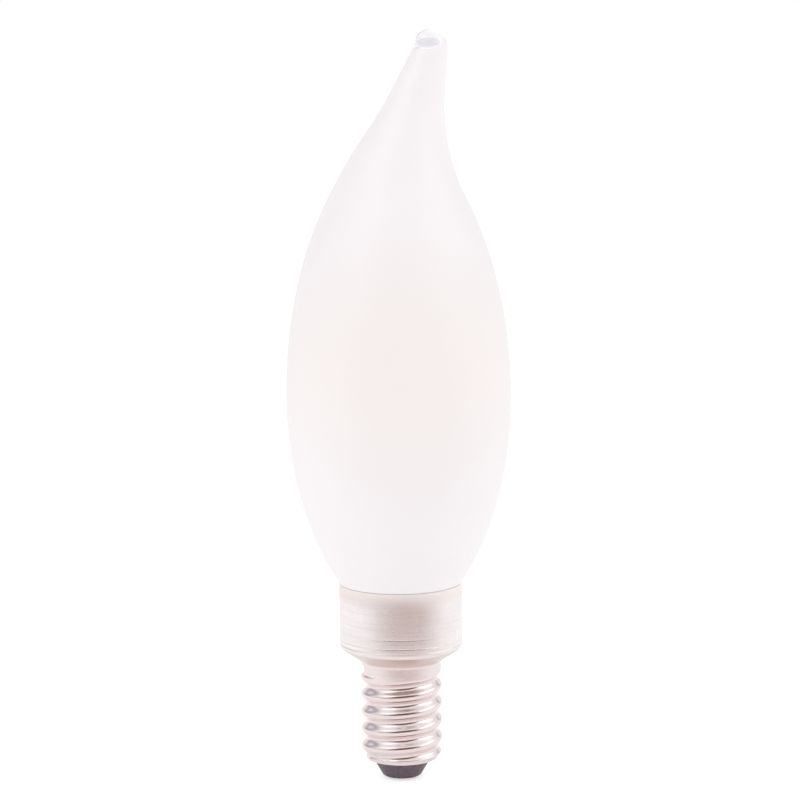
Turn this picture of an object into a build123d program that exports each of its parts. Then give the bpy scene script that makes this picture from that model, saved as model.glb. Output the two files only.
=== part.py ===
from build123d import *
import os
from math import asin, atan2, ceil, cos, degrees, hypot, radians, sin, sqrt, tan

# A frosted candle bulb with a bent flame tip, on a skirted E12 screw cap.
# Millimetres, +Z up. The origin is on the cap's axis, at the flat of the centre contact,
# and the tip bends towards +X.

# Fits
slide_fit = 0.05  # insulator in the cap's foot, contact in the insulator
cement_gap = 0.03  # glass to cement, and cement to skirt

# Centre contact
contact_flat_d = 2.4
contact_head_d = 3.6
contact_head_height = 0.3
contact_bevel_height = 0.2
contact_shank_d = 1.4
contact_shank_proud = 0.8  # past the insulator, inside the cap

# Base insulator
insulator_tip_d = 5.4
insulator_cone_d = 8.5  # where it meets the cap
insulator_drop = 2.6  # below the cap
insulator_edge_bevel = 0.2
insulator_flange_lap = 0.45  # past the hole in the cap's foot
insulator_flange_height = 1.4

# Screw cap: drawn sheet with a rolled right-hand thread, from its foot up
sheet = 0.25
foot_bevel = 0.3  # of the plain tube, at 45 degrees, and so deeper in the ridge
thread_band = 12.2  # foot to neck
thread_major_d = 11.75
thread_pitch = 2.54
thread_depth = 0.72
thread_crest_radius = 0.7
thread_flank_angle = 43  # of the flank's normal, from the crest's
thread_turns = 4.36  # at full height
thread_start_height = 0.95  # of the first full crest above the foot
thread_start_angle = 50
thread_lead_in = 0.75  # of a turn, down to where the foot cuts it off
top_run_out = 0.125  # of a turn
neck_taper = 0.8
neck_d = 11.4
neck_height = 1.5
neck_radius = 0.5
cone_height = 2.03
skirt_d = 17.7
skirt_height = 9.4
skirt_radius = 1.0

# Basing cement
cement_thickness = 0.24
cement_height = 5.5
cement_top_gap = 0.6  # below the rim

# Glass bulb
glass_d = 32.1
equator_height = 27.2  # above the rim
belly_low_rise = 35.0  # half axes of the ellipse below the equator
belly_low_reach = 19.8
belly_high_rise = 42.5  # and of the one above it
belly_high_reach = 24.9
belly_height = 28.1  # from the equator to the start of the bend
heel_height = 0.5  # of the belly's start above the rim
heel_depth = 0.2  # of the neck's top below the rim
glass_neck_depth = 7.0  # into the skirt
glass_neck_bevel = 1.0
tip_bend_radius = 31.5
tip_lean = 16.4
tip_height = 21.0
tip_radii = [7.86, 6.04, 4.48, 3.44, 2.4]  # at even heights up to the end of the tip
nub_radius = 2.25
nub_rise = 0.4  # of its centre past the end of the tip
nub_shift = 0.15  # towards the outside of the bend

# Heights above the flat of the contact
foot_z = contact_head_height + insulator_drop
insulator_top_z = foot_z + sheet + insulator_flange_height
neck_taper_z = foot_z + thread_band
neck_z = neck_taper_z + neck_taper
cone_z = neck_z + neck_height
skirt_z = cone_z + cone_height
rim_z = skirt_z + skirt_height
equator_z = rim_z + equator_height
bend_z = equator_z + belly_height

# Radii that two pieces share
root_radius = thread_major_d / 2 - thread_depth
foot_hole_radius = insulator_cone_d / 2 + slide_fit
contact_hole_radius = contact_shank_d / 2 + slide_fit
cement_outer_radius = skirt_d / 2 - sheet - cement_gap
cement_inner_radius = cement_outer_radius - cement_thickness
glass_neck_radius = cement_inner_radius - cement_gap

os.makedirs("parts", exist_ok=True)

# Centre contact: a rivet with a flat, bevelled head
with BuildPart() as centre_contact:
    with BuildSketch(Plane.XZ):
        with BuildLine():
            shank_top_z = insulator_top_z + contact_shank_proud
            Polyline(
                (0, 0),
                (contact_flat_d / 2, 0),
                (contact_head_d / 2, contact_bevel_height),
                (contact_head_d / 2, contact_head_height),
                (contact_shank_d / 2, contact_head_height),
                (contact_shank_d / 2, shank_top_z),
                (0, shank_top_z),
                close=True,
            )
        make_face()
    revolve(axis=Axis.Z)

# Base insulator: a moulded cone, with a flange that rests on the inside of the cap's foot
with BuildPart() as base_insulator:
    with BuildSketch(Plane.XZ):
        with BuildLine():
            cone_spread = (insulator_cone_d - insulator_tip_d) / 2 / insulator_drop
            flange_radius = foot_hole_radius + insulator_flange_lap
            Polyline(
                (contact_hole_radius, contact_head_height),
                (insulator_tip_d / 2 - insulator_edge_bevel, contact_head_height),
                (
                    insulator_tip_d / 2 + insulator_edge_bevel * cone_spread,
                    contact_head_height + insulator_edge_bevel,
                ),
                (insulator_cone_d / 2, foot_z),
                (insulator_cone_d / 2, foot_z + sheet),
                (flange_radius, foot_z + sheet),
                (flange_radius, insulator_top_z),
                (contact_hole_radius, insulator_top_z),
                close=True,
            )
        make_face()
    revolve(axis=Axis.Z)

# Thread ridge: a round crest on straight flanks that go half way into the sheet
crest_centre = thread_major_d / 2 - thread_crest_radius
ridge_base_radius = root_radius - sheet / 2
with BuildSketch(Plane.XZ) as ridge_section:
    with BuildLine():
        crest = CenterArc((crest_centre, 0), thread_crest_radius, -thread_flank_angle, 2 * thread_flank_angle)
        flank_spread = ((crest @ 1).X - ridge_base_radius) / tan(radians(thread_flank_angle))
        base_half_width = (crest @ 1).Y + flank_spread
        Polyline(
            crest @ 1,
            (ridge_base_radius, base_half_width),
            (ridge_base_radius, -base_half_width),
            crest @ 0,
        )
    make_face()


def ridge(turns, sink=0):
    """Ridge that climbs right-handed for some turns, and sinks into the sheet on its way."""
    rise = thread_pitch * turns
    cone_pitch = hypot(rise, sink) / turns
    with BuildPart() as swept:
        with BuildLine():
            path = Helix(cone_pitch, rise, crest_centre, cone_angle=-degrees(atan2(sink, rise)))
        sweep(sections=ridge_section.sketch, path=path, is_frenet=True)
    return swept.part


# The ridge is made of equal stretches of less than a turn, end to end, and a run-out at its top
ridge_turns = thread_lead_in + thread_turns
stretch_count = ceil(ridge_turns)
stretch_turns = ridge_turns / stretch_count
stretch = ridge(stretch_turns)
top_end = ridge(top_run_out, sink=thread_depth + sheet / 4)
ridge_start_z = foot_z + thread_start_height - thread_pitch * thread_lead_in
ridge_start = Location((0, 0, ridge_start_z), (0, 0, thread_start_angle - 360 * thread_lead_in))
stretch_step = Location((0, 0, thread_pitch * stretch_turns), (0, 0, 360 * stretch_turns))
stretch_starts = [ridge_start]
for _ in range(stretch_count):
    stretch_starts.append(stretch_starts[-1] * stretch_step)

# Screw cap: the outside and its thread, cut level and bevelled at the foot, then hollowed
with BuildPart() as screw_cap:
    with BuildSketch(Plane.XZ):
        with BuildLine():
            skirt = FilletPolyline(
                (neck_d / 2, neck_z),
                (neck_d / 2, cone_z),
                (skirt_d / 2, skirt_z),
                (skirt_d / 2, rim_z),
                radius=[neck_radius, skirt_radius],
            )
            Polyline(
                skirt @ 1,
                (0, rim_z),
                (0, foot_z),
                (root_radius, foot_z),
                (root_radius, neck_taper_z),
                skirt @ 0,
            )
        make_face()
    revolve(axis=Axis.Z)
    with Locations(*stretch_starts[:-1]):
        add(stretch)
    with Locations(stretch_starts[-1]):
        add(top_end)
    split(bisect_by=Plane.XY.offset(foot_z), keep=Keep.TOP)
    with BuildSketch(Plane.XZ):
        with BuildLine():
            bevel_rise = thread_depth + foot_bevel + sheet
            Polyline(
                (root_radius - foot_bevel, foot_z),
                (root_radius - foot_bevel + bevel_rise, foot_z + bevel_rise),
                (root_radius - foot_bevel + bevel_rise, foot_z),
                close=True,
            )
        make_face()
    revolve(axis=Axis.Z, mode=Mode.SUBTRACT)
    with BuildSketch(Plane.XZ):
        with BuildLine():
            Polyline(
                (-sheet, foot_z),
                (root_radius, foot_z),
                (root_radius, neck_taper_z),
                (neck_d / 2, neck_z),
                (neck_d / 2, cone_z),
                (skirt_d / 2, skirt_z),
                (skirt_d / 2, rim_z + sheet),
                (-sheet, rim_z + sheet),
                close=True,
            )
        make_face()
        offset(amount=-sheet, kind=Kind.INTERSECTION)
    revolve(axis=Axis.Z, mode=Mode.SUBTRACT)
    with BuildSketch(Plane.XY.offset(foot_z)):
        Circle(foot_hole_radius)
    extrude(amount=sheet, mode=Mode.SUBTRACT)

# Basing cement: the ring between the skirt and the glass
with BuildPart() as basing_cement:
    with BuildSketch(Plane.XY.offset(rim_z - cement_top_gap)):
        Circle(cement_outer_radius)
        Circle(cement_inner_radius, mode=Mode.SUBTRACT)
    extrude(amount=-cement_height)


def tip_offset(height):
    """Sideways shift of the tip's axis at a height above the start of its bend."""
    lean = radians(tip_lean)
    arc_height = tip_bend_radius * sin(lean)
    if height < arc_height:
        return tip_bend_radius - sqrt(tip_bend_radius**2 - height**2)
    return tip_bend_radius * (1 - cos(lean)) + (height - arc_height) * tan(lean)


# Glass bulb: a belly turned from two ellipses, then a bent tip with a round sealed nub
with BuildPart() as glass_bulb:
    with BuildSketch(Plane.XZ):
        with BuildLine():
            low_angle = degrees(asin((equator_height - heel_height) / belly_low_rise))
            high_angle = degrees(asin(belly_height / belly_high_rise))
            low = EllipticalCenterArc(
                (glass_d / 2 - belly_low_reach, equator_z),
                belly_low_reach,
                belly_low_rise,
                start_angle=-low_angle,
                arc_size=low_angle,
            )
            high = EllipticalCenterArc(
                (glass_d / 2 - belly_high_reach, equator_z),
                belly_high_reach,
                belly_high_rise,
                start_angle=0,
                arc_size=high_angle,
            )
            neck_end_z = rim_z - glass_neck_depth
            Polyline(
                high @ 1,
                (0, bend_z),
                (0, neck_end_z),
                (glass_neck_radius - glass_neck_bevel, neck_end_z),
                (glass_neck_radius, neck_end_z + glass_neck_bevel),
                (glass_neck_radius, rim_z - heel_depth),
                low @ 0,
            )
        make_face()
    revolve(axis=Axis.Z)
    section_radii = [(high @ 1).X] + tip_radii
    for place, section_radius in enumerate(section_radii):
        height = tip_height * place / len(tip_radii)
        with BuildSketch(Plane((tip_offset(height), 0, bend_z + height))):
            Circle(section_radius)
    loft()
    with Locations((tip_offset(tip_height) + nub_shift, 0, bend_z + tip_height + nub_rise)):
        Sphere(nub_radius)

pieces = {
    "glass_bulb": glass_bulb,
    "screw_cap": screw_cap,
    "basing_cement": basing_cement,
    "base_insulator": base_insulator,
    "centre_contact": centre_contact,
}
for node, piece in pieces.items():
    piece.part.label = node
    export_step(piece.part, f"parts/{node}.step")
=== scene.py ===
"""Looks of a frosted candle bulb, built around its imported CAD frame.

Sizes in the classes are millimetres, and Blender works in metres. The bulb stands upright with
the flat of its centre contact at the origin, and its flame tip bends towards +X.
"""

import logging
import math
from dataclasses import dataclass, field
from enum import Enum
from typing import Any, Callable

import bmesh
import bpy
from mathutils import Euler, Matrix, Vector


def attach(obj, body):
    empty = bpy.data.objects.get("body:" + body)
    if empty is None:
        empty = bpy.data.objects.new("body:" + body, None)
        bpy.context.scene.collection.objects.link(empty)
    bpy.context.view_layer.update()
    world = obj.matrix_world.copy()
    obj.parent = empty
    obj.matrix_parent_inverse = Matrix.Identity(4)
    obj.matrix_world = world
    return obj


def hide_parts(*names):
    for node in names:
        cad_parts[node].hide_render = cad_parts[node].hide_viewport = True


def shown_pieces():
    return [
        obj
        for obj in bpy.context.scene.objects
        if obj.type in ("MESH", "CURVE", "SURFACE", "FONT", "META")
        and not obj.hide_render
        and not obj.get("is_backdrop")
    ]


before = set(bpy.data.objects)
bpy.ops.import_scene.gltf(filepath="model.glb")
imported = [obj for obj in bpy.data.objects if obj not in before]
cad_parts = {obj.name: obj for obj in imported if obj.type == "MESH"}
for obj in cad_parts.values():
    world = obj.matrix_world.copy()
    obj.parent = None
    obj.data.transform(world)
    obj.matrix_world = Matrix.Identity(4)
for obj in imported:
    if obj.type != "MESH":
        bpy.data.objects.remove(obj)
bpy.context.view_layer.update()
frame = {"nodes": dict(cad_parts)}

MM = 0.001
BODY = "root"
MERGE_DISTANCE = 1e-7
ROUND_STEP = math.radians(9)
LEAST_TURN = 1e-3
HEIGHT_SLACK = 1e-3
RING_DIGITS = 4
RING_SLACK = 1e-4
SOFT_EDGE = (0.6, 1.1)
GLASS_IOR = 1.5
NODE_ACROSS = 220
NODE_DOWN = 60
NODE_ROWS = 4
# Places of a Mix node's colours among its sockets, where their names repeat
MIX_LOW = 6
MIX_HIGH = 7
MIX_RESULT = 2
LOG = logging.getLogger("candle_bulb")

Point = tuple[float, float]
Triple = tuple[float, float, float]
Colour = tuple[float, float, float, float]
Socket = bpy.types.NodeSocket

WHITE: Colour = (1.0, 1.0, 1.0, 1.0)


class FrostSide(Enum):
    """Which side of the frost's edge a piece of the glass keeps."""

    BELOW = "below"
    ABOVE = "above"


class LampSide(Enum):
    """Where a soft lamp stands, seen from the camera."""

    LEFT = -1
    RIGHT = 1


# Drawing and turning


@dataclass(frozen=True)
class Corner:
    """One corner of a half section.

    Attributes:
        radius: Distance from the axis.
        height: Height above the contact's flat.
        rounding: Radius of the corner's rounding.
        spacing: Longest step on the straight way to this corner.
    """

    radius: float
    height: float
    rounding: float = 0.0
    spacing: float = math.inf

    @property
    def place(self) -> Vector:
        """The corner as a flat vector."""
        return Vector((self.radius, self.height))


def rounded(before: Vector, corner: Corner, after: Vector) -> list[Vector]:
    """Round one corner of an outline.

    Args:
        before: The point before the corner.
        corner: The corner, with its rounding.
        after: The point after the corner.

    Returns:
        The points of the rounding, or the corner itself if it is sharp.
    """
    way_in = (corner.place - before).normalized()
    way_out = (after - corner.place).normalized()
    turn = way_in.angle(way_out, 0.0)
    if not corner.rounding or turn < LEAST_TURN:
        return [corner.place]
    reach = corner.rounding * math.tan(turn / 2)
    start = corner.place - way_in * reach
    side = Vector((-way_in.y, way_in.x))
    if side.dot(way_out) < 0:
        side = -side
    steps = max(2, math.ceil(turn / ROUND_STEP))
    points = []
    for step in range(steps + 1):
        angle = turn * step / steps
        along = way_in * (corner.rounding * math.sin(angle))
        points.append(start + along + side * (corner.rounding * (1 - math.cos(angle))))
    return points


def draw_outline(corners: list[Corner], closed: bool) -> list[Point]:
    """Draw a half section through its corners.

    Args:
        corners: The corners in order.
        closed: Whether the outline comes back to its start.

    Returns:
        The outline's points as radius and height.
    """
    places = [corner.place for corner in corners]
    count = len(corners)
    drawn: list[Vector] = []
    for index, corner in enumerate(corners):
        inner = closed or 0 < index < count - 1
        turned = [corner.place]
        if inner:
            turned = rounded(places[index - 1], corner, places[(index + 1) % count])
        if drawn and corner.spacing < math.inf:
            gap = turned[0] - drawn[-1]
            pieces = math.ceil(gap.length / corner.spacing)
            drawn += [drawn[-1].lerp(turned[0], step / pieces) for step in range(1, pieces)]
        drawn += turned
    if closed:
        drawn.append(drawn[0])
    return [(point.x, point.y) for point in drawn]


def lathe(name: str, outline: list[Point], segments: int) -> bpy.types.Object:
    """Draw a half section vertex by vertex and spin it about the axis.

    Args:
        name: Name of the piece.
        outline: Points of the half section as radius and height.
        segments: Steps of the spin.

    Returns:
        The turned piece, closed, with its faces outwards.
    """
    bpy.ops.object.select_all(action="DESELECT")
    bpy.ops.mesh.primitive_plane_add(size=MM)
    piece = bpy.context.object
    piece.name = piece.data.name = name
    bpy.ops.object.mode_set(mode="EDIT")
    bpy.ops.mesh.select_mode(type="VERT")
    bpy.ops.mesh.select_all(action="SELECT")
    bpy.ops.mesh.merge(type="CENTER")
    radius, height = outline[0]
    bpy.ops.transform.translate(value=(radius * MM, 0, height * MM))
    for here, there in zip(outline, outline[1:]):
        step = ((there[0] - here[0]) * MM, 0, (there[1] - here[1]) * MM)
        bpy.ops.mesh.extrude_region_move(TRANSFORM_OT_translate={"value": step})
    bpy.ops.mesh.select_all(action="SELECT")
    bpy.ops.mesh.remove_doubles(threshold=MERGE_DISTANCE)
    bpy.ops.mesh.spin(steps=segments, angle=2 * math.pi, center=(0, 0, 0), axis=(0, 0, 1))
    bpy.ops.mesh.select_all(action="SELECT")
    bpy.ops.mesh.remove_doubles(threshold=MERGE_DISTANCE)
    bpy.ops.mesh.normals_make_consistent(inside=False)
    bpy.ops.object.mode_set(mode="OBJECT")
    return piece


def make_active(piece: bpy.types.Object) -> None:
    """Select one piece alone and make it active."""
    bpy.ops.object.select_all(action="DESELECT")
    piece.select_set(True)
    bpy.context.view_layer.objects.active = piece


def slide_rings(piece: bpy.types.Object, shift: Callable[[float], float], above: float) -> None:
    """Slide each level ring of a piece sideways along X.

    Args:
        piece: The turned piece.
        shift: Gives the slide for a height.
        above: Rings up to this height stay where they are.
    """
    make_active(piece)
    bpy.ops.object.mode_set(mode="EDIT")
    bpy.ops.mesh.select_mode(type="VERT")
    shape = bmesh.from_edit_mesh(piece.data)
    heights = sorted({round(vertex.co.z / MM, RING_DIGITS) for vertex in shape.verts})
    for height in heights:
        if height <= above:
            continue
        for vertex in shape.verts:
            vertex.select = abs(vertex.co.z / MM - height) < RING_SLACK
        shape.select_flush_mode()
        bmesh.update_edit_mesh(piece.data)
        bpy.ops.transform.translate(value=(shift(height) * MM, 0, 0))
        shape = bmesh.from_edit_mesh(piece.data)
    bpy.ops.object.mode_set(mode="OBJECT")


def smooth(piece: bpy.types.Object, degrees: float) -> None:
    """Shade a piece smooth except at edges sharper than an angle."""
    make_active(piece)
    bpy.ops.object.shade_smooth_by_angle(angle=math.radians(degrees))


def ease(share: float) -> float:
    """Share of a change that starts and ends gently, held between 0 and 1."""
    held = min(1.0, max(0.0, share))
    return held**2 * (3 - 2 * held)


def soft_floor(value: float, softness: float) -> float:
    """Keep a value from going below zero, with a rounded turn.

    Args:
        value: The value.
        softness: Half width of the turn.

    Returns:
        Zero well below zero, the value well above it, and a parabola between.
    """
    if value <= -softness:
        return 0.0
    if value >= softness:
        return value
    return (value + softness) ** 2 / (4 * softness)


# Finishes


@dataclass
class NodePen:
    """Draws a node tree, one node and one link at a time."""

    tree: bpy.types.NodeTree
    count: int = 0

    def add(self, kind: str, inputs: dict[str, Any] | None = None, **settings: Any) -> bpy.types.Node:
        """Add a node.

        Args:
            kind: Type name of the node.
            inputs: Values, or sockets to link from, by input name.
            **settings: Properties of the node.

        Returns:
            The new node.
        """
        node = self.tree.nodes.new(kind)
        node.location = (NODE_ACROSS * self.count, -NODE_DOWN * (self.count % NODE_ROWS))
        self.count += 1
        for name, value in settings.items():
            setattr(node, name, value)
        for name, value in (inputs or {}).items():
            self.feed(node.inputs[name], value)
        return node

    def feed(self, socket: Socket, value: Any) -> None:
        """Set a socket, or link it if the value is another node's output."""
        if isinstance(value, Socket):
            self.tree.links.new(value, socket)
        else:
            socket.default_value = value

    def math(self, operation: str, *values: Any, clamp: bool = False) -> Socket:
        """Add a Math node.

        Args:
            operation: Name of the operation.
            *values: Numbers or sockets, in order.
            clamp: Whether the result is held between 0 and 1.

        Returns:
            Its output.
        """
        node = self.add("ShaderNodeMath", operation=operation, use_clamp=clamp)
        for socket, value in zip(node.inputs, values):
            self.feed(socket, value)
        return node.outputs[0]

    def mix(self, factor: Any, low: Any, high: Any) -> Socket:
        """Mix two colours.

        Args:
            factor: Share of the second colour.
            low: First colour.
            high: Second colour.

        Returns:
            The mixed colour.
        """
        node = self.add("ShaderNodeMix", data_type="RGBA")
        self.feed(node.inputs["Factor"], factor)
        self.feed(node.inputs[MIX_LOW], low)
        self.feed(node.inputs[MIX_HIGH], high)
        return node.outputs[MIX_RESULT]

    def between(self, value: Any, ends: Point, result: Point) -> Socket:
        """Map a value smoothly from one range to another.

        Args:
            value: The value's socket.
            ends: The range it comes in.
            result: The range that goes out.

        Returns:
            The mapped value.
        """
        node = self.add("ShaderNodeMapRange", interpolation_type="SMOOTHSTEP")
        names = ("Value", "From Min", "From Max", "To Min", "To Max")
        for name, part in zip(names, (value, *ends, *result)):
            self.feed(node.inputs[name], part)
        return node.outputs["Result"]


class Mottle:
    """Node group for what varies over a worked surface: grain, draw lines and clouding."""

    NAME = "mottle"
    INPUTS = (("Scale", 100.0), ("Stretch", 1.0), ("Detail", 2.0), ("Low", 0.0), ("High", 1.0))
    NOISE_LOW = 0.25
    NOISE_HIGH = 0.75

    @classmethod
    def group(cls) -> bpy.types.NodeTree:
        """Build the group once.

        Returns:
            The group, with a noise that Stretch draws out around the axis.
        """
        if cls.NAME in bpy.data.node_groups:
            return bpy.data.node_groups[cls.NAME]
        tree = bpy.data.node_groups.new(cls.NAME, "ShaderNodeTree")
        sockets = tree.interface
        sockets.new_socket("Vector", in_out="INPUT", socket_type="NodeSocketVector")
        for name, value in cls.INPUTS:
            socket = sockets.new_socket(name, in_out="INPUT", socket_type="NodeSocketFloat")
            socket.default_value = value
        sockets.new_socket("Value", in_out="OUTPUT", socket_type="NodeSocketFloat")
        pen = NodePen(tree)
        given = pen.add("NodeGroupInput").outputs
        stretch = pen.add("ShaderNodeCombineXYZ", {"X": 1.0, "Y": 1.0, "Z": given["Stretch"]})
        drawn = pen.add("ShaderNodeVectorMath", operation="MULTIPLY")
        pen.feed(drawn.inputs[0], given["Vector"])
        pen.feed(drawn.inputs[1], stretch.outputs[0])
        noise = pen.add(
            "ShaderNodeTexNoise",
            {"Vector": drawn.outputs[0], "Scale": given["Scale"], "Detail": given["Detail"]},
        )
        spread = pen.add(
            "ShaderNodeMapRange",
            {
                "Value": noise.outputs["Fac"],
                "From Min": cls.NOISE_LOW,
                "From Max": cls.NOISE_HIGH,
                "To Min": given["Low"],
                "To Max": given["High"],
            },
        )
        result = pen.add("NodeGroupOutput")
        pen.feed(result.inputs["Value"], spread.outputs["Result"])
        return tree


@dataclass
class Finish:
    """A material being made: its nodes and its one shader."""

    name: str
    material: bpy.types.Material = field(init=False)
    pen: NodePen = field(init=False)
    shader: bpy.types.Node = field(init=False)
    place: Socket = field(init=False)

    def __post_init__(self) -> None:
        """Start the material with a shader, its output and Object coordinates."""
        self.material = bpy.data.materials.new(self.name)
        self.material.use_nodes = True
        tree = self.material.node_tree
        tree.nodes.clear()
        self.pen = NodePen(tree)
        self.place = self.pen.add("ShaderNodeTexCoord").outputs["Object"]
        self.shader = self.pen.add("ShaderNodeBsdfPrincipled")
        output = self.pen.add("ShaderNodeOutputMaterial")
        self.pen.feed(output.inputs["Surface"], self.shader.outputs["BSDF"])

    def set(self, **values: Any) -> None:
        """Set or link the shader's sockets, with underscores for spaces in their names."""
        for name, value in values.items():
            self.pen.feed(self.shader.inputs[name.replace("_", " ")], value)

    def mottle(self, **values: float) -> Socket:
        """Place the mottle group with its own values.

        Args:
            **values: The group's inputs by name.

        Returns:
            Its value.
        """
        node = self.pen.add("ShaderNodeGroup", node_tree=Mottle.group())
        self.pen.feed(node.inputs["Vector"], self.place)
        for name, value in values.items():
            node.inputs[name].default_value = value
        return node.outputs["Value"]

    def height(self) -> Socket:
        """Height above the contact in millimetres."""
        axes = self.pen.add("ShaderNodeSeparateXYZ", {"Vector": self.place})
        return self.pen.math("DIVIDE", axes.outputs["Z"], MM)

    def bump(self, heights: Socket, depth: float) -> None:
        """Give the shader a bump.

        Args:
            heights: Socket with heights from 0 to 1.
            depth: Depth of the bump in millimetres.
        """
        node = self.pen.add("ShaderNodeBump", {"Height": heights, "Distance": depth * MM})
        self.set(Normal=node.outputs["Normal"])


@dataclass(frozen=True)
class FrostedGlass:
    """Glass with a white frost on its inside: bright, even, a little clouded, and with a painted warm
    shade round its middle where the filaments show through.
    """

    name: str = "frosted_glass"
    thin: Colour = (0.913, 0.887, 0.913, 1.0)
    dense: Colour = (0.937, 0.912, 0.935, 1.0)
    # Painted warm shade for the middle of the glass, where the filaments show through the frost
    painted_warm_shade: Colour = (0.927, 0.885, 0.885, 1.0)
    painted_shade_middle: float = 62.0
    painted_shade_reach: float = 26.0

    def material(self) -> bpy.types.Material:
        """Make the material."""
        finish = Finish(self.name)
        pen = finish.pen
        clouds = pen.mix(finish.mottle(Scale=90.0, Detail=3.0), self.thin, self.dense)
        # Painted warm shade: a belt round the middle height is tinted warmer and a little darker
        from_middle = pen.math("ABSOLUTE", pen.math("SUBTRACT", finish.height(), self.painted_shade_middle))
        painted_shade_belt = pen.between(from_middle, (0.0, self.painted_shade_reach), (1.0, 0.0))
        finish.set(
            Base_Color=pen.mix(painted_shade_belt, clouds, self.painted_warm_shade),
            Roughness=finish.mottle(Scale=700.0, Detail=2.0, Low=0.36, High=0.42),
            IOR=GLASS_IOR,
        )
        finish.bump(finish.mottle(Scale=4000.0, Detail=2.0), depth=0.004)
        return finish.material


@dataclass(frozen=True)
class FrostFromInside:
    """The frost in the hollow tip: dark greys as its painted shade from inside, and an emission as a
    painted glow of what comes through it.
    """

    name: str = "frost_from_inside"
    # Painted shade: the frost is white, and these greys stand for it in the dark of the hollow
    dark: Colour = (0.27, 0.26, 0.275, 1.0)
    pale: Colour = (0.33, 0.32, 0.335, 1.0)
    # Painted light: the frost glows with the light that comes through it, though it is no lamp
    light: Colour = (0.97, 0.95, 1.0, 1.0)
    glow: float = 0.6

    def material(self) -> bpy.types.Material:
        """Make the material."""
        finish = Finish(self.name)
        finish.set(
            Base_Color=finish.pen.mix(finish.mottle(Scale=400.0, Detail=3.0), self.dark, self.pale),
            Roughness=finish.mottle(Scale=1500.0, Low=0.6, High=0.8),
            Emission_Color=self.light,
            Emission_Strength=self.glow,
        )
        return finish.material


@dataclass(frozen=True)
class ClearGlass:
    """The melted end of the tip, without frost."""

    name: str = "clear_glass"
    tint: Colour = (0.98, 0.975, 0.985, 1.0)
    seed: Colour = (0.965, 0.96, 0.975, 1.0)

    def material(self) -> bpy.types.Material:
        """Make the material."""
        finish = Finish(self.name)
        seeds = finish.mottle(Scale=900.0, Detail=1.0)
        finish.set(
            Base_Color=finish.pen.mix(seeds, self.tint, self.seed),
            Roughness=0.02,
            IOR=GLASS_IOR,
            Transmission_Weight=1.0,
        )
        finish.bump(finish.mottle(Scale=500.0, Detail=1.0), depth=0.004)
        return finish.material


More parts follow.
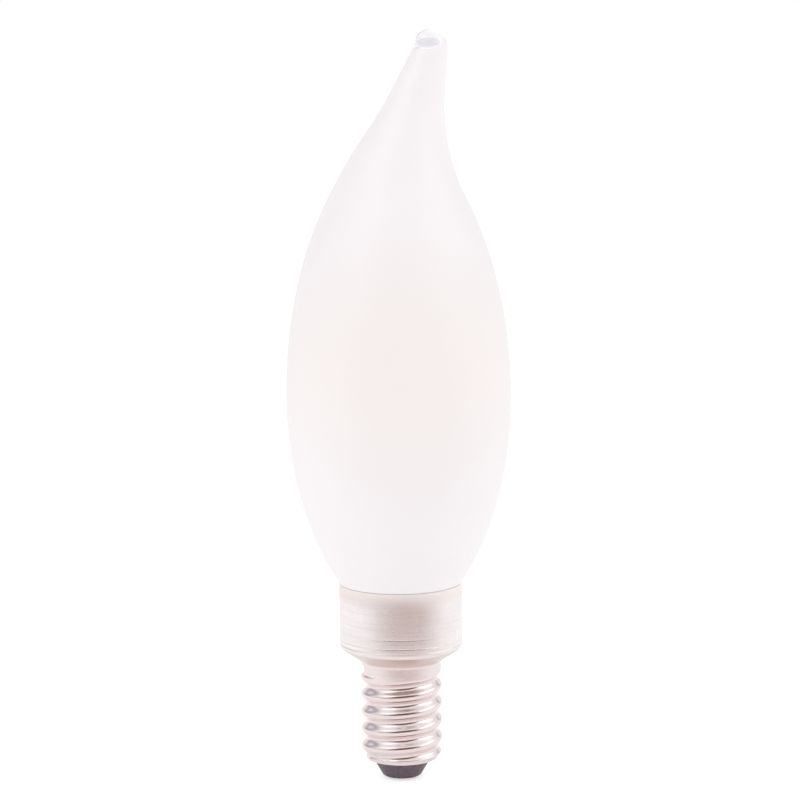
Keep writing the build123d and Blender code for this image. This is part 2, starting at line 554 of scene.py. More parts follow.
@dataclass(frozen=True)
class SatinNickel:
    """Nickel plate: satin on the drawn skirt, burnished where the thread was rolled.

    Heights are above the contact. A share says how far a colour or a finish takes over. The top of the
    skirt carries a painted light and the cone a painted shade.
    """

    name: str = "satin_nickel"
    bright: Colour = (0.99, 0.945, 0.955, 1.0)
    dull: Colour = (0.84, 0.78, 0.775, 1.0)
    tube: Colour = (0.86, 0.755, 0.745, 1.0)
    # Painted shade: the cone's darker colour stands for the shaded floor that it mirrors
    drawn: Colour = (0.77, 0.675, 0.65, 1.0)
    # Painted light: the pale, warm top of the skirt, as lit by the bright glass above it
    painted_rim_light: Colour = (0.99, 0.93, 0.9, 1.0)
    line_wear: float = 0.5
    cloud_wear: float = 0.3
    grain_wear: float = 0.6
    unworn: float = 0.2
    rolled_top: float = 15.0
    satin_start: float = 16.2
    rolled_gloss: float = 0.13
    rolled_lines: float = 0.05
    satin_gloss: float = 0.25
    satin_grain: float = 0.06
    tube_top: float = 19.4
    tube_fade: float = 0.6
    tube_share: float = 0.7
    # Where the cone's painted shade lies
    cone_middle: float = 18.5
    cone_reach: float = 1.1
    cone_core: float = 0.6
    rim: float = 28.83
    rim_reach: float = 3.2
    rim_gloss: float = 0.42
    # How far the rim's painted light takes over, and how far the rim turns from metal to diffuse so that
    # it shows bright
    painted_rim_light_share: float = 0.75
    rim_light_diffuse_share: float = 0.5
    rim_light_power: float = 4.0
    relief_depth: float = 0.014
    relief_lines: float = 0.4
    rolled_relief: float = 0.15

    def plate(self, pen: NodePen, worked: Socket, height: Socket, at_rim: Socket) -> Socket:
        """Colour the plate by how it was worked, with a painted light at the top of the skirt and a
        painted shade on the cone.

        Args:
            pen: Pen of the material.
            worked: How dull the plate has become.
            height: Height above the contact.
            at_rim: One at the rim and zero well below it.

        Returns:
            The colour.
        """
        colour = pen.mix(worked, self.bright, self.dull)
        # Painted light at the top of the skirt
        colour = pen.mix(pen.math("MULTIPLY", at_rim, self.painted_rim_light_share), colour, self.painted_rim_light)
        fade = (self.tube_top, self.tube_top + self.tube_fade)
        colour = pen.mix(pen.between(height, fade, (self.tube_share, 0.0)), colour, self.tube)
        # Painted shade on the cone
        from_cone = pen.math("ABSOLUTE", pen.math("SUBTRACT", height, self.cone_middle))
        core = self.cone_reach * self.cone_core
        painted_cone_shade = pen.between(from_cone, (core, self.cone_reach), (1.0, 0.0))
        return pen.mix(painted_cone_shade, colour, self.drawn)

    def material(self) -> bpy.types.Material:
        """Make the material."""
        finish = Finish(self.name)
        pen = finish.pen
        lines = finish.mottle(Scale=130.0, Stretch=45.0, Detail=3.0)
        grain = finish.mottle(Scale=5200.0, Detail=2.0)
        clouds = finish.mottle(Scale=260.0, Detail=3.0)
        height = finish.height()
        satin = pen.between(height, (self.rolled_top, self.satin_start), (0.0, 1.0))
        at_rim = pen.between(height, (self.rim - self.rim_reach, self.rim), (0.0, 1.0))
        worked = pen.math("MULTIPLY", lines, self.line_wear)
        worked = pen.math("MULTIPLY_ADD", clouds, self.cloud_wear, worked)
        worked = pen.math("SUBTRACT", worked, self.unworn)
        worked = pen.math("MULTIPLY_ADD", grain, self.grain_wear, worked, clamp=True)
        rolled_gloss = pen.math("MULTIPLY_ADD", lines, self.rolled_lines, self.rolled_gloss)
        textured = pen.math("ADD", grain, lines)
        satin_gloss = pen.math("MULTIPLY_ADD", textured, self.satin_grain, self.satin_gloss)
        satin_gloss = pen.math("MULTIPLY_ADD", at_rim, self.rim_gloss, satin_gloss)
        spread = pen.math("SUBTRACT", satin_gloss, rolled_gloss)
        # Painted light: towards the rim the plate turns partly diffuse, so the pale colour there shows
        # bright
        rim_light_mask = pen.math("POWER", at_rim, self.rim_light_power)
        finish.set(
            Base_Color=self.plate(pen, worked, height, at_rim),
            Metallic=pen.math("MULTIPLY_ADD", rim_light_mask, -self.rim_light_diffuse_share, 1.0),
            Roughness=pen.math("MULTIPLY_ADD", spread, satin, rolled_gloss),
        )
        relief = pen.math("ADD", grain, pen.math("MULTIPLY", lines, self.relief_lines))
        strength = pen.math("MULTIPLY_ADD", satin, 1 - self.rolled_relief, self.rolled_relief)
        finish.bump(pen.math("MULTIPLY", relief, strength), depth=self.relief_depth)
        return finish.material


@dataclass(frozen=True)
class BlackInsulator:
    """Moulded black insulator with a soft gloss."""

    name: str = "black_insulator"
    dark: Colour = (0.07, 0.05, 0.064, 1.0)
    pale: Colour = (0.155, 0.12, 0.145, 1.0)

    def material(self) -> bpy.types.Material:
        """Make the material."""
        finish = Finish(self.name)
        finish.set(
            Base_Color=finish.pen.mix(finish.mottle(Scale=2400.0, Detail=3.0), self.dark, self.pale),
            Roughness=finish.mottle(Scale=2500.0, Low=0.3, High=0.42),
        )
        finish.bump(finish.mottle(Scale=3500.0, Detail=2.0), depth=0.004)
        return finish.material


@dataclass(frozen=True)
class Cement:
    """Fired basing cement, matt and gritty."""

    name: str = "cement"
    pale: Colour = (0.68, 0.65, 0.6, 1.0)
    dark: Colour = (0.5, 0.47, 0.42, 1.0)

    def material(self) -> bpy.types.Material:
        """Make the material."""
        finish = Finish(self.name)
        grit = finish.mottle(Scale=3000.0, Detail=4.0)
        finish.set(
            Base_Color=finish.pen.mix(grit, self.pale, self.dark),
            Roughness=finish.mottle(Scale=900.0, Low=0.8, High=0.95),
        )
        finish.bump(grit, depth=0.03)
        return finish.material


@dataclass(frozen=True)
class ContactMetal:
    """Tinned rivet with turning marks on its flat."""

    name: str = "contact_metal"
    bright: Colour = (0.74, 0.73, 0.71, 1.0)
    dull: Colour = (0.6, 0.58, 0.55, 1.0)

    def material(self) -> bpy.types.Material:
        """Make the material."""
        finish = Finish(self.name)
        smears = finish.mottle(Scale=900.0, Detail=3.0)
        finish.set(
            Base_Color=finish.pen.mix(smears, self.bright, self.dull),
            Metallic=1.0,
            Roughness=finish.mottle(Scale=2200.0, Low=0.22, High=0.4),
        )
        finish.bump(finish.mottle(Scale=2600.0, Stretch=8.0, Detail=2.0), depth=0.006)
        return finish.material


# The bulb's pieces


@dataclass
class GlassBulb:
    """Frosted glass with a bent flame tip, and the clear end where the tip was sealed.

    The neck's bottom, the rim, the equator, the cavity's floor and the frost's edge are heights
    above the contact. The heel's curve is drawn from its radius at the rim's level.
    """

    neck_bottom: float = 21.83
    neck_bevel: float = 1.0
    neck_radius: float = 8.27
    rim: float = 28.83
    heel_drop: float = 0.58
    heel_radius: float = 8.565
    heel_height: float = 0.5
    heel_curve: tuple[Point, ...] = (
        (-0.06, -0.38),
        (0.0, -0.1),
        (0.04, 0.035),
        (0.2, 0.05),
        (0.3, 0.11),
        (0.37, 0.24),
    )
    radius: float = 16.035
    equator: float = 56.03
    low_rise: float = 35.0
    low_reach: float = 19.8
    high_rise: float = 42.5
    high_reach: float = 24.9
    belly_height: float = 28.1
    bend_radius: float = 31.5
    lean: float = 16.4
    tip_height: float = 21.0
    tip_radii: tuple[float, ...] = (7.86, 6.04, 4.48, 3.44, 2.4)
    nub_radius: float = 2.245
    nub_rise: float = 0.4
    nub_shift: float = 0.15
    nub_lean: float = -0.1
    lip: float = 0.03
    lip_height: float = 0.12
    wall: float = 0.52
    nub_wall: float = 0.42
    cavity_floor: float = 97.0
    cavity_shift: float = -0.25
    frost_edge: float = 106.06
    frost_rise_right: float = 0.14
    frost_rise_back: float = 0.385
    frost_gap: float = 0.02
    painted_edge_glow: float = 0.8
    edge_reach: float = 1.5
    edge_facing: float = 0.99
    slope_parts: int = 8
    belly_steps: int = 44
    tip_steps: int = 36
    dome_steps: int = 18
    cavity_steps: int = 16
    cavity_dome_steps: int = 14
    sharp_angle: float = 40.0
    segments: int = 96
    frosted: bpy.types.Object = field(init=False)
    clear: bpy.types.Object = field(init=False)

    @property
    def bend(self) -> float:
        """Height at which the tip starts to bend."""
        return self.equator + self.belly_height

    @property
    def tip_end(self) -> float:
        """Height of the end of the drawn tip."""
        return self.bend + self.tip_height

    @property
    def nub_centre(self) -> float:
        """Height of the centre of the sealed nub."""
        return self.tip_end + self.nub_rise

    def belly(self, height: float) -> float:
        """Radius of the belly at a height."""
        above = height - self.equator
        rise = self.high_rise if above > 0 else self.low_rise
        reach = self.high_reach if above > 0 else self.low_reach
        return self.radius - reach + reach * math.sqrt(1 - (above / rise) ** 2)

    def tip_radius(self, height: float) -> float:
        """Radius of the drawn tip, on a smooth curve through its named radii.

        Args:
            height: Height above the contact.

        Returns:
            The radius.
        """
        knots = [self.belly(self.bend), *self.tip_radii]
        step = self.tip_height / len(self.tip_radii)
        fall = self.belly(self.bend) - self.belly(self.bend - step / self.slope_parts)
        slopes = [fall * self.slope_parts]
        slopes += [(after - before) / 2 for before, after in zip(knots, knots[2:])]
        slopes.append(knots[-1] - knots[-2])
        along = (height - self.bend) / step
        index = min(len(self.tip_radii) - 1, int(along))
        part = along - index
        start, end = knots[index], knots[index + 1]
        return (
            start * (1 + 2 * part) * (1 - part) ** 2
            + slopes[index] * part * (1 - part) ** 2
            + end * part**2 * (3 - 2 * part)
            - slopes[index + 1] * part**2 * (1 - part)
        )

    def tip_shift(self, height: float) -> float:
        """Sideways place of the tip's axis at a height: an arc, then straight on."""
        rise = height - self.bend
        lean = math.radians(self.lean)
        arc_rise = self.bend_radius * math.sin(lean)
        if rise < arc_rise:
            return self.bend_radius - math.sqrt(self.bend_radius**2 - rise**2)
        return self.bend_radius * (1 - math.cos(lean)) + (rise - arc_rise) * math.tan(lean)

    def outer_shift(self, height: float) -> float:
        """Sideways place of the outside at a height, with the nub's own offset."""
        if height <= self.tip_end + HEIGHT_SLACK:
            return self.tip_shift(height)
        return self.tip_shift(self.tip_end) + self.nub_shift + (height - self.nub_centre) * self.nub_lean

    def inner_shift(self, height: float) -> float:
        """Sideways place of the hollow at a height: nearer the inside of the bend."""
        return self.outer_shift(height) + self.cavity_shift

    def dome(self, radius: float, start: float, steps: int) -> list[Point]:
        """Half section of a round end about the nub's centre.

        Args:
            radius: Radius of the round end.
            start: Height of its start over the centre.
            steps: Steps from there to the top.

        Returns:
            The points, the last of them on the axis.
        """
        low = math.asin(start / radius)
        points: list[Point] = []
        for step in range(steps):
            angle = low + (math.pi / 2 - low) * step / steps
            points.append((radius * math.cos(angle), self.nub_centre + radius * math.sin(angle)))
        points.append((0.0, self.nub_centre + radius))
        return points

    def outside(self) -> list[Point]:
        """Half section of the outside, from the hidden neck to the top of the nub."""
        points: list[Point] = [
            (0.0, self.neck_bottom),
            (self.neck_radius - self.neck_bevel, self.neck_bottom),
            (self.neck_radius, self.neck_bottom + self.neck_bevel),
            (self.neck_radius, self.rim - self.heel_drop),
        ]
        points += [(self.heel_radius + out, self.rim + up) for out, up in self.heel_curve]
        belly_start = self.rim + self.heel_height
        for step in range(self.belly_steps + 1):
            height = belly_start + (self.bend - belly_start) * step / self.belly_steps
            points.append((self.belly(height), height))
        for step in range(1, self.tip_steps):
            height = self.bend + self.tip_height * step / self.tip_steps
            points.append((self.tip_radius(height), height))
        points.append((self.tip_radii[-1] + self.lip, self.tip_end - self.lip_height))
        points.append((self.tip_radii[-1], self.tip_end))
        return points + self.dome(self.nub_radius, self.lip_height - self.nub_rise, self.dome_steps)

    def cavity(self) -> list[Point]:
        """Half section of the hollow inside the end of the tip, up to its round end."""
        points: list[Point] = [(0.0, self.cavity_floor)]
        for step in range(self.cavity_steps):
            height = self.cavity_floor + (self.tip_end - self.cavity_floor) * step / self.cavity_steps
            points.append((self.tip_radius(height) - self.wall, height))
        inner_radius = self.nub_radius - self.nub_wall
        return points + self.dome(inner_radius, -self.nub_rise, self.cavity_dome_steps)

    def frost_plane(self) -> tuple[Vector, Vector]:
        """A point and the upward normal of the plane of the frost's edge, in metres."""
        centre = Vector((self.tip_shift(self.tip_end), 0.0, self.frost_edge)) * MM
        return centre, Vector((-self.frost_rise_right, -self.frost_rise_back, 1.0)).normalized()

    def cut(self, piece: bpy.types.Object, side: FrostSide) -> None:
        """Cut a piece at the frost's edge and close the wall there.

        Args:
            piece: Outside and cavity as one mesh.
            side: The side that stays.
        """
        centre, upward = self.frost_plane()
        if side is FrostSide.ABOVE:
            centre = centre + upward * (self.frost_gap * MM)
        make_active(piece)
        bpy.ops.object.mode_set(mode="EDIT")
        bpy.ops.mesh.select_mode(type="VERT")
        bpy.ops.mesh.select_all(action="SELECT")
        bpy.ops.mesh.bisect(
            plane_co=centre,
            plane_no=upward,
            clear_outer=side is FrostSide.BELOW,
            clear_inner=side is FrostSide.ABOVE,
            threshold=MERGE_DISTANCE,
        )
        bpy.ops.mesh.select_all(action="DESELECT")
        bpy.ops.mesh.select_mode(type="EDGE")
        bpy.ops.mesh.select_non_manifold()
        bpy.ops.mesh.bridge_edge_loops()
        bpy.ops.object.mode_set(mode="OBJECT")

    def mark_edge(self, piece: bpy.types.Object, slot: int) -> None:
        """Give the cut faces at the frost's edge one of the piece's finishes.

        Args:
            piece: The cut piece.
            slot: Place of the finish in its list.
        """
        centre, upward = self.frost_plane()
        for face in piece.data.polygons:
            off_plane = abs((face.center - centre).dot(upward)) / MM
            faces_edge = abs(face.normal.dot(upward)) > self.edge_facing
            if faces_edge and off_plane < self.edge_reach * self.frost_gap:
                face.material_index = slot

    def build(self) -> None:
        """Turn the glass and its cavity, bend the tip, and part the clear end from the frost."""
        outer = lathe("frosted_glass_bulb", self.outside(), self.segments)
        slide_rings(outer, self.outer_shift, self.bend)
        hollow = lathe("tip_cavity", self.cavity(), self.segments)
        slide_rings(hollow, self.inner_shift, self.bend)
        outer.data.materials.append(FrostedGlass().material())
        # The hollow gets the frost's painted shade and painted glow
        hollow.data.materials.append(FrostFromInside().material())
        make_active(hollow)
        bpy.ops.object.mode_set(mode="EDIT")
        bpy.ops.mesh.select_all(action="SELECT")
        bpy.ops.mesh.flip_normals()
        bpy.ops.object.mode_set(mode="OBJECT")
        outer.select_set(True)
        bpy.context.view_layer.objects.active = outer
        bpy.ops.object.join()
        self.frosted = outer
        make_active(outer)
        bpy.ops.object.duplicate()
        self.clear = bpy.context.object
        self.clear.name = self.clear.data.name = "clear_sealed_tip"
        self.cut(self.frosted, FrostSide.BELOW)
        self.cut(self.clear, FrostSide.ABOVE)
        smooth(self.frosted, self.sharp_angle)
        smooth(self.clear, self.sharp_angle)

    def dress(self) -> None:
        """Give the clear end its finish, with the frost's edge under it."""
        slots = self.clear.data.materials
        slots[0] = slots[1] = ClearGlass().material()
        # The frost's edge under the clear end gets the same painted shade, with a stronger painted glow
        slots.append(FrostFromInside("frost_edge", glow=self.painted_edge_glow).material())
        self.mark_edge(self.frosted, slot=0)
        self.mark_edge(self.clear, slot=len(slots) - 1)
        for piece in (self.frosted, self.clear):
            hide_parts("glass_bulb")
            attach(piece, BODY)


@dataclass
class ScrewCap:
    """Drawn cap: skirt, cone, neck and a tube with a thread rolled into it.

    Heights are above the contact, but for the thread's start, which is above the foot. Angles are
    in degrees, and turns count from the start of the thread.
    """

    sheet: float = 0.25
    foot: float = 2.9
    foot_hole: float = 4.3
    foot_rounding: float = 0.35
    root_radius: float = 5.155
    depth: float = 0.72
    crest_radius: float = 0.7
    flank_angle: float = 43.0
    pitch: float = 2.54
    turns: float = 4.42
    start_height: float = 0.95
    start_angle: float = 50.0
    top_run_out: float = 0.11
    groove_turns: float = 4.25
    groove_run_out: float = 0.25
    neck_softness: float = 0.1
    root_softness: float = 0.28
    foot_bevel: float = 0.3
    foot_softness: float = 0.26
    tube_top: float = 16.5
    neck_start: float = 16.8
    neck_end: float = 17.4
    neck_radius: float = 5.76
    neck_rounding: float = 0.5
    cone_top: float = 19.43
    skirt_radius: float = 8.85
    skirt_rounding: float = 0.9
    rim: float = 28.83
    rim_rounding: float = 0.11
    mark_heights: tuple[float, ...] = (20.12, 20.82, 22.14)
    mark_depths: tuple[float, ...] = (0.07, 0.03, 0.015)
    mark_width: float = 0.18
    mark_rounding: float = 0.05
    edge_rounding: float = 0.06
    tube_rounding: float = 0.12
    step_rounding: float = 0.2
    inner_rounding: float = 0.5
    inner_step_rounding: float = 0.3
    cone_spacing: float = 0.5
    ring_spacing: float = 0.085
    skirt_spacing: float = 0.6
    sharp_angle: float = 75.0
    segments: int = 160
    cap: bpy.types.Object = field(init=False)

    def outline(self) -> list[Point]:
        """Half section of the drawn cap, outside and inside, with the draw marks on its skirt."""
        corners = [
            Corner(self.foot_hole, self.foot, self.edge_rounding),
            Corner(self.root_radius, self.foot, self.foot_rounding),
            Corner(self.root_radius, self.tube_top, self.tube_rounding, self.ring_spacing),
            Corner(self.neck_radius, self.neck_start, self.step_rounding, self.ring_spacing),
            Corner(self.neck_radius, self.neck_end, self.neck_rounding, self.ring_spacing),
            Corner(self.skirt_radius, self.cone_top, self.skirt_rounding, self.cone_spacing),
        ]
        half = self.mark_width / 2
        for height, depth in zip(self.mark_heights, self.mark_depths):
            for rise, inward in ((-half, 0.0), (0.0, depth), (half, 0.0)):
                corners.append(Corner(self.skirt_radius - inward, height + rise, self.mark_rounding))
        wall = self.skirt_radius - self.sheet
        inner_neck = self.neck_radius - self.sheet
        inner_tube = self.root_radius - self.sheet
        slope = (self.skirt_radius - self.neck_radius) / (self.cone_top - self.neck_end)
        lift = self.sheet * (math.sqrt(1 + slope**2) - 1) / slope
        corners += [
            Corner(self.skirt_radius, self.rim, self.rim_rounding, self.skirt_spacing),
            Corner(wall, self.rim, self.rim_rounding),
            Corner(wall, self.cone_top + lift, self.inner_rounding),
            Corner(inner_neck, self.neck_end + lift, self.inner_rounding),
            Corner(inner_neck, self.neck_start, self.inner_step_rounding),
            Corner(inner_tube, self.tube_top, self.inner_step_rounding),
            Corner(inner_tube, self.foot + self.sheet),
            Corner(self.foot_hole, self.foot + self.sheet, self.edge_rounding),
        ]
        return draw_outline(corners, closed=True)

    def taper(self, height: float) -> float:
        """How far the tube has widened towards the neck at a height."""
        share = (height - self.tube_top) / (self.neck_start - self.tube_top)
        return min(1.0, max(0.0, share)) * (self.neck_radius - self.root_radius)

    def ridge(self, offset: float) -> float:
        """Height of the thread over its root, at a distance along the axis from its crest."""
        flank = math.radians(self.flank_angle)
        reach = abs(offset)
        edge = self.crest_radius * math.sin(flank)
        held = min(reach, edge)
        crest = self.depth - self.crest_radius + math.sqrt(self.crest_radius**2 - held**2)
        return crest - max(0.0, reach - edge) * math.tan(flank)

    def thread_height(self, angle: float, height: float) -> float:
        """How far the rolled thread stands out of the tube at a place on it.

        Args:
            angle: Angle round the axis, in degrees.
            height: Height above the contact.

        Returns:
            The height there. The foot cuts the thread off. At the top the ridge sinks to the neck
            and the groove closes.
        """
        along = (angle - self.start_angle) / 360
        turns = (height - self.foot - self.start_height) / self.pitch - along
        neck = self.neck_radius - self.root_radius
        sunk = ease((along + round(turns) - self.turns) / self.top_run_out)
        closed = ease((along + math.floor(turns) - self.groove_turns) / self.groove_run_out)
        stands = self.ridge((turns - round(turns)) * self.pitch)
        level = self.depth + (neck - self.depth) * sunk
        stands = level - soft_floor(level - stands, self.neck_softness * sunk)
        limit = height - self.foot - self.foot_bevel
        stands -= soft_floor(stands - limit, self.foot_softness)
        bottom = neck * closed
        return bottom + soft_floor(stands - bottom, self.root_softness * (1 - closed))

    def push_out(self, way: Vector, heights: dict[int, float]) -> None:
        """Push the thread out of the tube along one axis, as far as each place looks that way.

        Args:
            way: The axis, with its sign.
            heights: Height of the thread at each vertex that has some.
        """
        axis = "X" if way.x else "Y"
        group = self.cap.vertex_groups.new(name="thread")
        for index, height in heights.items():
            place = self.cap.data.vertices[index].co
            share = Vector((place.x, place.y)).normalized().dot(way) * height / self.depth
            if share > 0:
                group.add([index], min(1.0, share), "REPLACE")
        rolling = self.cap.modifiers.new("rolled thread", "DISPLACE")
        rolling.direction = axis
        rolling.vertex_group = group.name
        rolling.strength = (way.x + way.y) * self.depth * MM
        rolling.mid_level = 0.0
        make_active(self.cap)
        bpy.ops.object.modifier_apply(modifier=rolling.name)
        self.cap.vertex_groups.clear()

    def roll_thread(self) -> None:
        """Roll the thread into the tube, straight out from the axis."""
        heights: dict[int, float] = {}
        for vertex in self.cap.data.vertices:
            place = vertex.co / MM
            radius = math.hypot(place.x, place.y)
            outer = radius > self.root_radius + self.taper(place.z) - self.sheet / 2
            if outer and self.foot < place.z < self.neck_end - self.neck_rounding:
                angle = math.degrees(math.atan2(place.y, place.x))
                height = self.root_radius + self.thread_height(angle, place.z) - radius
                if height > 0:
                    heights[vertex.index] = height
        for way in ((1, 0), (-1, 0), (0, 1), (0, -1)):
            self.push_out(Vector(way), heights)

    def build(self) -> None:
        """Turn the drawn cap and roll its thread."""
        self.cap = lathe("nickel_screw_cap", self.outline(), self.segments)
        self.roll_thread()
        smooth(self.cap, self.sharp_angle)

    def dress(self) -> None:
        """Give the cap its plate."""
        self.cap.data.materials.append(SatinNickel().material())
        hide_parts("screw_cap")
        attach(self.cap, BODY)


@dataclass
class BaseFittings:
    """The cap's insulator, centre contact and basing cement, which keep their CAD forms."""

    nodes: dict[str, bpy.types.Object]

    def dress(self) -> None:
        """Give each node its own finish."""
        finishes = {
            "base_insulator": BlackInsulator(),
            "centre_contact": ContactMetal(),
            "basing_cement": Cement(),
        }
        for name, finish in finishes.items():
            node = self.nodes[name]
            for slot in node.material_slots:
                slot.material = finish.material()


# The studio


def soft_oval(pen: NodePen, place: Socket, centre: Any, turn: Any, reach: Any) -> Socket:
    """Mask a soft oval.

    Args:
        pen: Pen of the tree.
        place: Socket with the place or the way.
        centre: Middle of the oval.
        turn: Its turn about the axes.
        reach: Its half sizes.

    Returns:
        One in the oval and zero outside it.
    """
    local = pen.add(
        "ShaderNodeMapping",
        {"Vector": place, "Location": centre, "Rotation": turn, "Scale": reach},
        vector_type="TEXTURE",
    )
    length = pen.add("ShaderNodeVectorMath", operation="LENGTH")
    pen.feed(length.inputs[0], local.outputs["Vector"])
    return pen.between(length.outputs["Value"], SOFT_EDGE, (1.0, 0.0))


@dataclass(frozen=True)
class RoomPatch:
    """A soft oval in the room round the bulb, seen from the bulb.

    Attributes:
        azimuth: Angle from the camera's side, positive to its right.
        elevation: Angle above level.
        width: Half width, as a share of the room's radius.
        height: Half height, as the same share.
        colour: Its light.
    """

    azimuth: float
    elevation: float
    width: float
    height: float
    colour: Colour

    def mask(self, pen: NodePen, way: Socket) -> Socket:
        """Mask the oval among the ways out into the room.

        Args:
            pen: Pen of the world's tree.
            way: Socket with the way out.

        Returns:
            One in the oval and zero outside it.
        """
        turn = Euler((-math.radians(self.elevation), 0.0, math.radians(self.azimuth)))
        centre = turn.to_matrix() @ Vector((0.0, -1.0, 0.0))
        return soft_oval(pen, way, centre, turn, (self.width, 1.0, self.height))


@dataclass(frozen=True)
class SoftLamp:
    """A softbox beside the camera, aimed at the middle of the bulb."""

    side: LampSide
    azimuth: float
    elevation: float
    width: float = 420.0
    height: float = 640.0
    power: float = 1.4
    distance: float = 900.0
    aim: float = 60.0

    def build(self) -> None:
        """Place the lamp."""
        lamp = bpy.data.lights.new(f"softbox_{self.side.name.lower()}", "AREA")
        lamp.shape = "RECTANGLE"
        lamp.size = self.width * MM
        lamp.size_y = self.height * MM
        lamp.energy = self.power
        turn, rise = math.radians(self.azimuth), math.radians(self.elevation)
        way = Vector(
            (
                self.side.value * math.sin(turn) * math.cos(rise),
                -math.cos(turn) * math.cos(rise),
                math.sin(rise),
            )
        )
        holder = bpy.data.objects.new(lamp.name, lamp)
        holder.location = (way * self.distance + Vector((0, 0, self.aim))) * MM
        holder.rotation_euler = way.to_track_quat("Z", "Y").to_euler()
        holder.visible_glossy = holder.visible_transmission = False
        bpy.context.scene.collection.objects.link(holder)


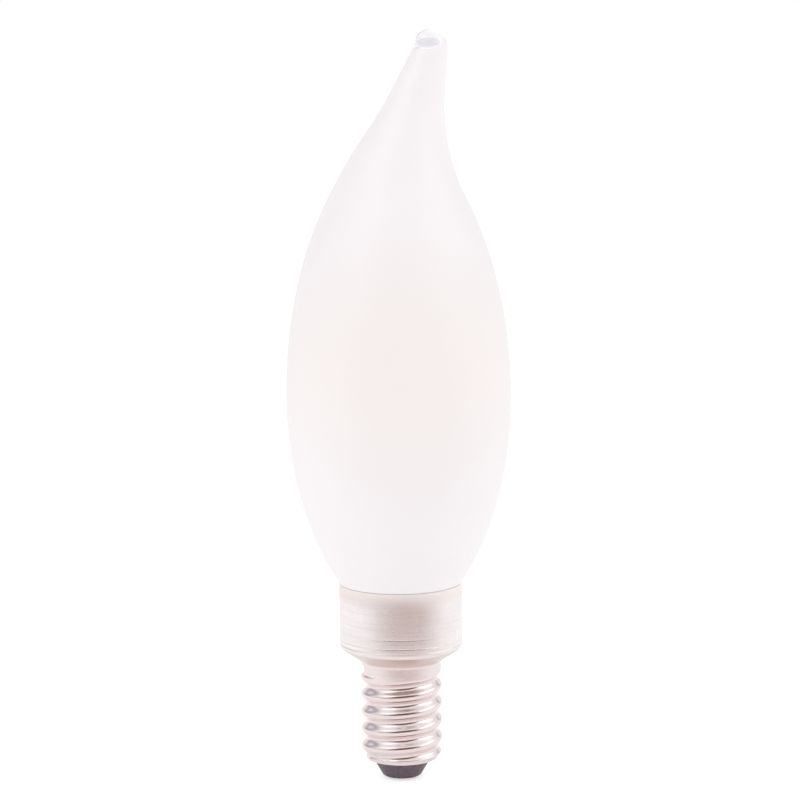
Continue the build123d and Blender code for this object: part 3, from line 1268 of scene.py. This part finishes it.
@dataclass
class Studio:
    """White floor and surround with a dim side behind the camera, two softboxes and the camera."""

    camera_place: Triple = (0.185, -450.0, 126.2)
    pitch: float = 8.96
    roll: float = -0.54
    focal: float = 3198.0
    image: float = 800.0
    sensor: float = 36.0
    clip_near: float = 10.0
    clip_far: float = 20000.0
    floor_size: float = 4000.0
    floor_drop: float = 0.02
    floor_white: Colour = (0.8, 0.8, 0.8, 1.0)
    floor_glow: float = 0.26
    floor_lift: float = 0.34
    floor_dim: Colour = (0.52, 0.4, 0.36, 1.0)
    floor_dim_place: Triple = (90.0, -420.0, 0.0)
    floor_dim_reach: Triple = (420.0, 420.0, 100.0)
    surround: float = 0.8
    reflected: float = 0.9
    front_dim: RoomPatch = RoomPatch(4.0, 12.7, 0.82, 0.54, (0.17, 0.08, 0.06, 1.0))
    front_light: Colour = (0.5, 0.27, 0.13, 1.0)
    front_share: float = 0.3
    mirrored: tuple[RoomPatch, ...] = (
        # The left and the right softbox, and a dim bar across each
        RoomPatch(-52.0, 42.0, 0.46, 0.27, (1.45, 1.45, 1.45, 1.0)),
        RoomPatch(82.0, 31.0, 0.52, 0.3, (1.65, 1.65, 1.65, 1.0)),
        RoomPatch(-50.0, 36.0, 0.5, 0.045, (0.5, 0.45, 0.45, 1.0)),
        RoomPatch(80.0, 40.0, 0.5, 0.035, (0.66, 0.6, 0.6, 1.0)),
        # A low and a high gap on the left
        RoomPatch(-90.0, 5.0, 0.75, 0.07, (0.45, 0.4, 0.42, 1.0)),
        RoomPatch(-60.0, 74.0, 0.28, 0.12, (0.45, 0.4, 0.4, 1.0)),
        # A dim panel behind the bulb on the left, with a lighter middle
        RoomPatch(-122.0, 27.0, 0.46, 0.48, (0.5, 0.47, 0.52, 1.0)),
        RoomPatch(-132.0, 35.0, 0.22, 0.24, (0.82, 0.8, 0.84, 1.0)),
        # An upright behind on the right, a bar overhead and the low dark strip in front
        RoomPatch(138.0, 28.0, 0.06, 0.6, (0.5, 0.48, 0.52, 1.0)),
        RoomPatch(30.0, 68.0, 0.34, 0.06, (0.45, 0.4, 0.38, 1.0)),
        RoomPatch(-8.0, 4.0, 1.4, 0.14, (0.12, 0.07, 0.06, 1.0)),
    )
    lamps: tuple[SoftLamp, ...] = (
        SoftLamp(LampSide.LEFT, azimuth=56.0, elevation=38.0),
        SoftLamp(LampSide.RIGHT, azimuth=72.0, elevation=40.0),
    )

    def light_world(self) -> None:
        """White surround, with what metal and glass mirror: softboxes, gaps and the dim front."""
        world = bpy.data.worlds.new("studio")
        world.use_nodes = True
        bpy.context.scene.world = world
        tree = world.node_tree
        tree.nodes.clear()
        pen = NodePen(tree)
        way = pen.add("ShaderNodeTexCoord").outputs["Generated"]
        rays = pen.add("ShaderNodeLightPath").outputs
        front = self.front_dim.mask(pen, way)
        mirror: Any = (self.reflected, self.reflected, self.reflected, 1.0)
        for patch in self.mirrored:
            mirror = pen.mix(patch.mask(pen, way), mirror, patch.colour)
        mirror = pen.mix(front, mirror, self.front_dim.colour)
        plain = (self.surround, self.surround, self.surround, 1.0)
        light = pen.mix(pen.math("MULTIPLY", front, self.front_share), plain, self.front_light)
        colour = pen.mix(rays["Is Glossy Ray"], light, mirror)
        seen = pen.math("MAXIMUM", rays["Is Camera Ray"], rays["Is Transmission Ray"])
        colour = pen.mix(seen, colour, WHITE)
        sky = pen.add("ShaderNodeBackground", {"Color": colour, "Strength": 1.0})
        output = pen.add("ShaderNodeOutputWorld")
        pen.feed(output.inputs["Surface"], sky.outputs["Background"])

    def lay_floor(self) -> None:
        """White floor that keeps the bulb's shadow, and shows metal the dim room before it."""
        bpy.ops.object.select_all(action="DESELECT")
        place = (0, 0, -self.floor_drop * MM)
        bpy.ops.mesh.primitive_plane_add(size=self.floor_size * MM, location=place)
        floor = bpy.context.object
        floor.name = "studio_floor"
        finish = Finish("floor_white")
        pen = finish.pen
        centre = Vector(self.floor_dim_place) * MM
        reach = Vector(self.floor_dim_reach) * MM
        dim = soft_oval(pen, finish.place, centre, (0.0, 0.0, 0.0), reach)
        rays = pen.add("ShaderNodeLightPath").outputs
        dim = pen.math("MULTIPLY", dim, rays["Is Glossy Ray"])
        seen = pen.math("MAXIMUM", rays["Is Camera Ray"], rays["Is Transmission Ray"])
        glow = pen.math("MULTIPLY_ADD", seen, self.floor_lift, self.floor_glow)
        finish.set(
            Base_Color=pen.mix(dim, self.floor_white, self.floor_dim),
            Roughness=1.0,
            Specular_IOR_Level=0.0,
            Emission_Color=WHITE,
            Emission_Strength=pen.math("MULTIPLY", glow, pen.math("SUBTRACT", 1.0, dim)),
        )
        floor.data.materials.append(finish.material)
        floor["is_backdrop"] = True

    def set_camera(self) -> None:
        """Camera at the photograph's place, with its slight roll."""
        lens = bpy.data.cameras.new("camera")
        lens.sensor_width = self.sensor
        lens.lens = self.sensor * self.focal / self.image
        lens.clip_start = self.clip_near * MM
        lens.clip_end = self.clip_far * MM
        pitch, roll = math.radians(self.pitch), math.radians(self.roll)
        forward = Vector((0, math.cos(pitch), -math.sin(pitch)))
        level = Vector((1, 0, 0))
        upright = level.cross(forward)
        right = level * math.cos(roll) + upright * math.sin(roll)
        up = upright * math.cos(roll) - level * math.sin(roll)
        turned = Matrix((right, up, -forward)).transposed().to_4x4()
        holder = bpy.data.objects.new("camera", lens)
        holder.matrix_world = Matrix.Translation(Vector(self.camera_place) * MM) @ turned
        bpy.context.scene.collection.objects.link(holder)
        bpy.context.scene.camera = holder

    def build(self) -> None:
        """Set up the floor, the lights and the camera."""
        bpy.context.scene.view_settings.view_transform = "Standard"
        self.light_world()
        self.lay_floor()
        self.set_camera()
        for lamp in self.lamps:
            lamp.build()


def main() -> None:
    """Build and dress each sub-assembly in order, and report each piece."""
    logging.basicConfig(level=logging.INFO, format="%(name)s: %(message)s")
    Studio().build()
    glass, cap = GlassBulb(), ScrewCap()
    for assembly in (glass, cap):
        assembly.build()
        assembly.dress()
    BaseFittings(frame["nodes"]).dress()
    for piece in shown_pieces():
        LOG.info("%s: %d faces", piece.name, len(piece.data.polygons))


if __name__ == "__main__":
    main()
